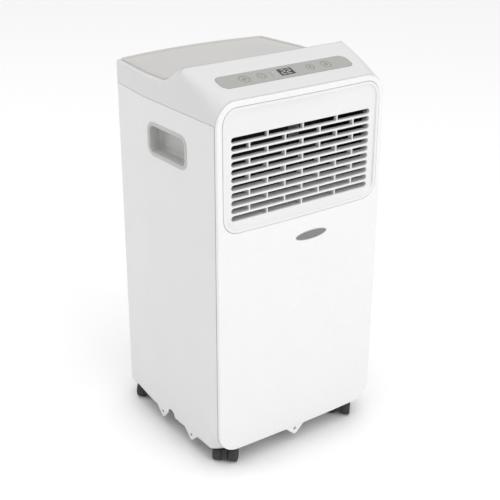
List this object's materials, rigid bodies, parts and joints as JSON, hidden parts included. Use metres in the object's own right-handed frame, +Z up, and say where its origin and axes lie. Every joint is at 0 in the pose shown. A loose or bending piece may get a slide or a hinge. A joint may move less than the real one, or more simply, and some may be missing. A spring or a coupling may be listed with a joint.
{
  "type": "portable air conditioner",
  "caption": "Upright portable air conditioner on swivel casters with a slotted front grille, sloped control strip, side hand holds and a rear exhaust port.",
  "frame": {"origin": "centre of the footprint on the floor", "axes": "+Z up, -Y out of the front panel, +X to the right seen from the front"},
  "size_m": [0.3474, 0.355, 0.703],
  "materials": {
    "front_white": "glossy white moulding",
    "grille_white": "glossy white moulding",
    "lattice_grey": "dark grey moulding",
    "cover_grey_white": "satin light grey-white moulding",
    "casing_white": "satin light grey-white moulding",
    "tray_grey": "satin warm grey moulding",
    "strip_grey": "satin grey film",
    "button_grey": "satin grey",
    "display_dark": "dark tinted window",
    "lens": "milky lens",
    "badge_grey": "grey enamel",
    "cup_grey": "satin mid grey",
    "rear_white": "satin light grey-white",
    "filter_grey": "mesh in a frame",
    "collar_grey": "satin grey",
    "black_rubber": "black rubber",
    "black_plastic": "black nylon",
    "pan_steel": "zinc grey paint",
    "screw_steel": "zinc plated",
    "compressor_black": "black paint",
    "coil_aluminium": "bare fins",
    "foam_white": "expanded foam",
    "fan_black": "black moulding",
    "motor_steel": "zinc plated",
    "deck_grey": "grey moulding",
    "copper": null,
    "box_steel": "zinc plated sheet",
    "board_green": "circuit board",
    "capacitor_steel": "can",
    "switch_white": "white moulding"
  },
  "bodies": {
    "cabinet": {"front_panel": "front_white", "front_grille": "grille_white", "grille_lattice": "lattice_grey", "top_cover": "cover_grey_white", "top_tray": "tray_grey", "control_strip": "strip_grey", "display_window": "display_dark", "indicator_lenses": "lens", "badge": "badge_grey", "side_casing_left": "casing_white", "side_casing_right": "casing_white", "handle_cup_left": "cup_grey", "handle_cup_right": "cup_grey", "rear_upper_housing": "rear_white", "rear_lower_housing": "rear_white", "exhaust_collar": "collar_grey", "cord_gland": "black_plastic", "base_pan": "pan_steel", "case_screws": "screw_steel", "compressor": "compressor_black", "compressor_grommets": "black_rubber", "accumulator": "compressor_black", "evaporator_coil": "coil_aluminium", "condenser_coil": "coil_aluminium", "blower_scroll": "foam_white", "blower_motor": "motor_steel", "fan_scroll": "foam_white", "fan_motor": "motor_steel", "middle_deck": "deck_grey", "outlet_duct": "foam_white", "discharge_pipe": "copper", "suction_pipe": "copper", "capillary_tube": "copper", "control_box": "box_steel", "main_board": "board_green", "keypad_board": "board_green", "run_capacitor": "capacitor_steel", "level_switch": "switch_white", "splash_motor": "motor_steel", "chassis_posts": "box_steel"},
    "power_button": {"power_button": "button_grey"},
    "minus_button": {"minus_button": "button_grey"},
    "plus_button": {"plus_button": "button_grey"},
    "mode_button": {"mode_button": "button_grey"},
    "upper_filter": {"upper_filter": "filter_grey"},
    "lower_filter": {"lower_filter": "filter_grey"},
    "upper_drain_plug": {"upper_drain_plug": "black_rubber"},
    "lower_drain_plug": {"lower_drain_plug": "black_rubber"},
    "blower_wheel": {"blower_wheel": "fan_black"},
    "fan_wheel": {"fan_wheel": "fan_black"},
    "splash_wheel": {"splash_wheel": "switch_white"},
    "level_float": {"level_float": "switch_white"},
    "caster_front_left": {"caster_fork_front_left": "black_plastic"},
    "wheels_front_left": {"caster_wheels_front_left": "black_plastic"},
    "caster_front_right": {"caster_fork_front_right": "black_plastic"},
    "wheels_front_right": {"caster_wheels_front_right": "black_plastic"},
    "caster_rear_left": {"caster_fork_rear_left": "black_plastic"},
    "wheels_rear_left": {"caster_wheels_rear_left": "black_plastic"},
    "caster_rear_right": {"caster_fork_rear_right": "black_plastic"},
    "wheels_rear_right": {"caster_wheels_rear_right": "black_plastic"}
  },
  "joints": [
    {"name": "power_button_press", "type": "slide", "parent": "cabinet", "child": "power_button", "axis": [0, 0.3084, -0.9513], "range_m": [0, 0.0008], "stiffness_N_per_m": 900, "springref_m": -0.0004},
    {"name": "minus_button_press", "type": "slide", "parent": "cabinet", "child": "minus_button", "axis": [0, 0.3084, -0.9513], "range_m": [0, 0.0008], "stiffness_N_per_m": 900, "springref_m": -0.0004},
    {"name": "plus_button_press", "type": "slide", "parent": "cabinet", "child": "plus_button", "axis": [0, 0.3084, -0.9513], "range_m": [0, 0.0008], "stiffness_N_per_m": 900, "springref_m": -0.0004},
    {"name": "mode_button_press", "type": "slide", "parent": "cabinet", "child": "mode_button", "axis": [0, 0.3084, -0.9513], "range_m": [0, 0.0008], "stiffness_N_per_m": 900, "springref_m": -0.0004},
    {"name": "upper_filter_pull", "type": "slide", "parent": "cabinet", "child": "upper_filter", "axis": [0, 1, 0], "range_m": [0, 0.06]},
    {"name": "lower_filter_pull", "type": "slide", "parent": "cabinet", "child": "lower_filter", "axis": [0, 1, 0], "range_m": [0, 0.06]},
    {"name": "upper_drain_plug_pull", "type": "slide", "parent": "cabinet", "child": "upper_drain_plug", "axis": [0, 1, 0], "range_m": [0, 0.03]},
    {"name": "lower_drain_plug_pull", "type": "slide", "parent": "cabinet", "child": "lower_drain_plug", "axis": [0, 1, 0], "range_m": [0, 0.03]},
    {"name": "blower_spin", "type": "hinge", "parent": "cabinet", "child": "blower_wheel", "pos_m": [0, 0.0304, 0.533], "axis": [0, 1, 0], "continuous": true},
    {"name": "fan_spin", "type": "hinge", "parent": "cabinet", "child": "fan_wheel", "pos_m": [0.052, 0.0304, 0.122], "axis": [0, 1, 0], "continuous": true},
    {"name": "splash_spin", "type": "hinge", "parent": "cabinet", "child": "splash_wheel", "pos_m": [-0.064, 0.0724, 0.071], "axis": [0, 1, 0], "continuous": true},
    {"name": "float_rise", "type": "slide", "parent": "cabinet", "child": "level_float", "axis": [0, 0, 1], "range_m": [0, 0.015]},
    {"name": "swivel_front_left", "type": "hinge", "parent": "cabinet", "child": "caster_front_left", "pos_m": [-0.1325, -0.1365, 0.036], "axis": [0, 0, 1], "continuous": true},
    {"name": "roll_front_left", "type": "hinge", "parent": "caster_front_left", "child": "wheels_front_left", "pos_m": [-0.14311, -0.14711, 0.015], "axis": [-0.7071, 0.7071, 0], "continuous": true},
    {"name": "swivel_front_right", "type": "hinge", "parent": "cabinet", "child": "caster_front_right", "pos_m": [0.1325, -0.1365, 0.036], "axis": [0, 0, 1], "continuous": true},
    {"name": "roll_front_right", "type": "hinge", "parent": "caster_front_right", "child": "wheels_front_right", "pos_m": [0.12189, -0.14711, 0.015], "axis": [-0.7071, 0.7071, 0], "continuous": true},
    {"name": "swivel_rear_left", "type": "hinge", "parent": "cabinet", "child": "caster_rear_left", "pos_m": [-0.1325, 0.1294, 0.036], "axis": [0, 0, 1], "continuous": true},
    {"name": "roll_rear_left", "type": "hinge", "parent": "caster_rear_left", "child": "wheels_rear_left", "pos_m": [-0.14311, 0.11879, 0.015], "axis": [-0.7071, 0.7071, 0], "continuous": true},
    {"name": "swivel_rear_right", "type": "hinge", "parent": "cabinet", "child": "caster_rear_right", "pos_m": [0.1325, 0.1294, 0.036], "axis": [0, 0, 1], "continuous": true},
    {"name": "roll_rear_right", "type": "hinge", "parent": "caster_rear_right", "child": "wheels_rear_right", "pos_m": [0.12189, 0.11879, 0.015], "axis": [-0.7071, 0.7071, 0], "continuous": true}
  ]
}
